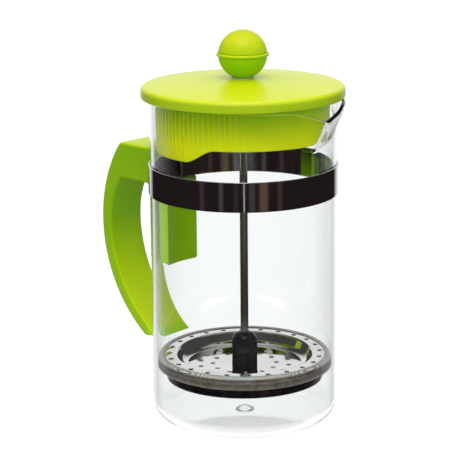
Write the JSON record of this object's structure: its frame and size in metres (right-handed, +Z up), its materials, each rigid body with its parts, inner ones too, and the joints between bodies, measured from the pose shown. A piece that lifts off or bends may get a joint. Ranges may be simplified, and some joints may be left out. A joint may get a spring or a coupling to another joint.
{
  "type": "french press",
  "caption": "Glass plunger coffee maker with a steel clamp band, side handle, turning domed lid, ball knob, rod and spring-rimmed steel mesh filter.",
  "frame": {"origin": "centre of the beaker's flat underside, on the table", "axes": "+Z up along the axis of the beaker and the rod; +X towards the spout; the handle is at -X"},
  "size_m": [0.1595, 0.109, 0.2127],
  "materials": {
    "beaker_glass": "clear fire-polished borosilicate glass",
    "polished_steel": "mirror-polished stainless strip",
    "handle_plastic": "satin lime-green moulding",
    "plated_screw": "zinc-plated turned steel",
    "lid_plastic": "satin lime-green moulding",
    "insert_plastic": "smooth lime-green moulding",
    "bush_plastic": "natural low-friction plastic",
    "knob_plastic": "satin lime-green moulding",
    "brass_insert": "turned brass",
    "rod_steel": "drawn stainless rod",
    "hub_plastic": "black moulding",
    "plate_steel": "polished pressed stainless sheet",
    "spring_steel": "bright stainless spring wire",
    "mesh_steel": "fine woven stainless wire cloth",
    "cross_steel": "polished pressed stainless sheet"
  },
  "bodies": {
    "beaker": {"beaker": "beaker_glass", "clamp_band": "polished_steel", "handle": "handle_plastic", "clamp_screw": "plated_screw", "clamp_nut": "plated_screw"},
    "bush": {"rod_bush": "bush_plastic"},
    "lid": {"lid_cover": "lid_plastic", "lid_insert": "insert_plastic"},
    "rod": {"plunger_rod": "rod_steel"},
    "plunger": {"knob_upper": "knob_plastic", "knob_lower": "knob_plastic", "knob_insert": "brass_insert", "filter_hub": "hub_plastic", "dome_plate": "plate_steel", "coil_spring": "spring_steel", "mesh_screen": "mesh_steel", "cross_plate": "cross_steel", "cross_stud": "plated_screw"}
  },
  "joints": [
    {"name": "lid_lift", "type": "slide", "parent": "beaker", "child": "bush", "axis": [0, 0, 1], "range_m": [0, 0.175]},
    {"name": "lid_turn", "type": "hinge", "parent": "bush", "child": "lid", "pos_m": [0, 0, 0.18], "axis": [0, 0, 1], "continuous": true},
    {"name": "plunger_slide", "type": "slide", "parent": "bush", "child": "rod", "axis": [0, 0, 1], "range_m": [0, 0.112]},
    {"name": "plunger_turn", "type": "hinge", "parent": "rod", "child": "plunger", "pos_m": [0, 0, 0.1], "axis": [0, 0, 1], "continuous": true}
  ]
}
